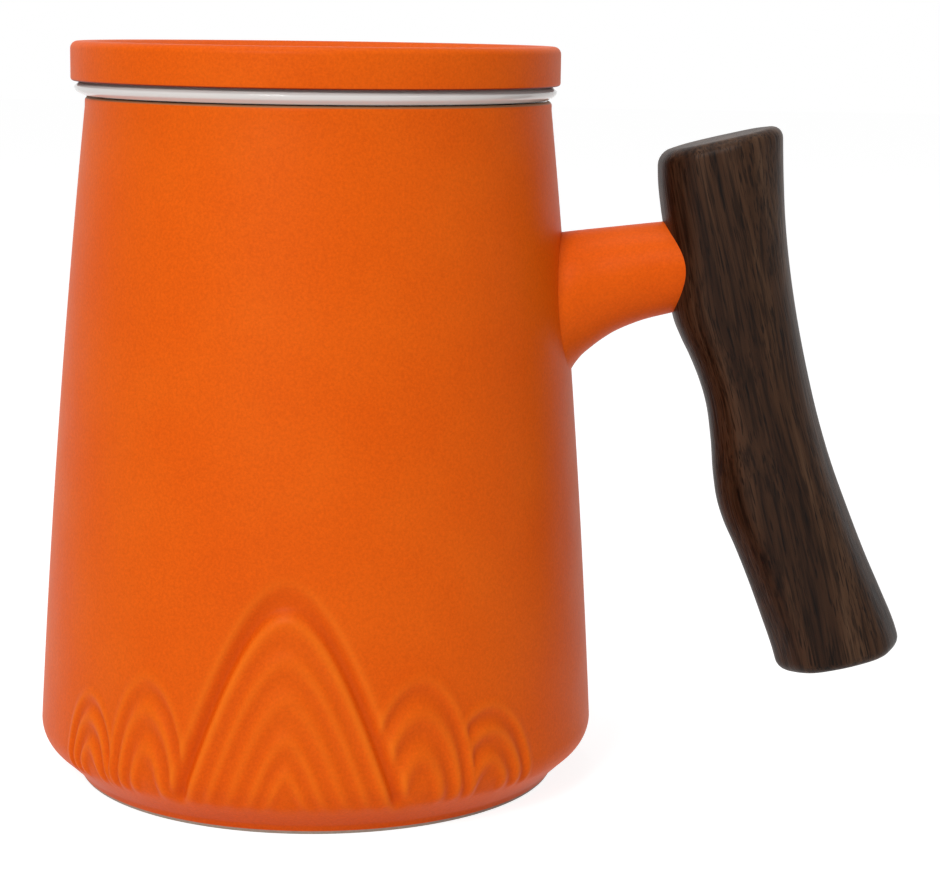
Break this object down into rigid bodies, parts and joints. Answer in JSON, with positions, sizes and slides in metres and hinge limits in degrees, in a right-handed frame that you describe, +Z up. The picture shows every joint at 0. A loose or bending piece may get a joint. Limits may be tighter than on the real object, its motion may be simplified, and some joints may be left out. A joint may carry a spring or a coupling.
{
  "type": "lidded tea mug with infuser",
  "caption": "Tall tapered glazed mug with a wooden side grip on a short stub, a drop-in porcelain strainer and a loose disc lid.",
  "frame": {"origin": "centre of the mug's foot, on the table", "axes": "+Z up, +X towards the wooden grip, +Y to the back of the mug as the picture shows it"},
  "size_m": [0.1401, 0.09, 0.1175],
  "materials": {
    "orange_glaze": "satin eggshell glaze",
    "dark_walnut": "oiled, fine straight grain",
    "beech": "plain",
    "clear_epoxy": "cured",
    "white_porcelain": "gloss glaze",
    "orange_glaze_lid": "satin eggshell glaze"
  },
  "bodies": {
    "mug": {"mug_body": "orange_glaze", "handle": "dark_walnut", "handle_dowel": "beech", "handle_adhesive": "clear_epoxy"},
    "infuser": {"infuser": "white_porcelain"},
    "lid": {"lid": "orange_glaze_lid"}
  },
  "joints": [
    {"name": "infuser_lift", "type": "slide", "parent": "mug", "child": "infuser", "axis": [0, 0, 1], "range_m": [0, 0.085]},
    {"name": "lid_lift", "type": "slide", "parent": "infuser", "child": "lid", "axis": [0, 0, 1], "range_m": [0, 0.05]}
  ]
}
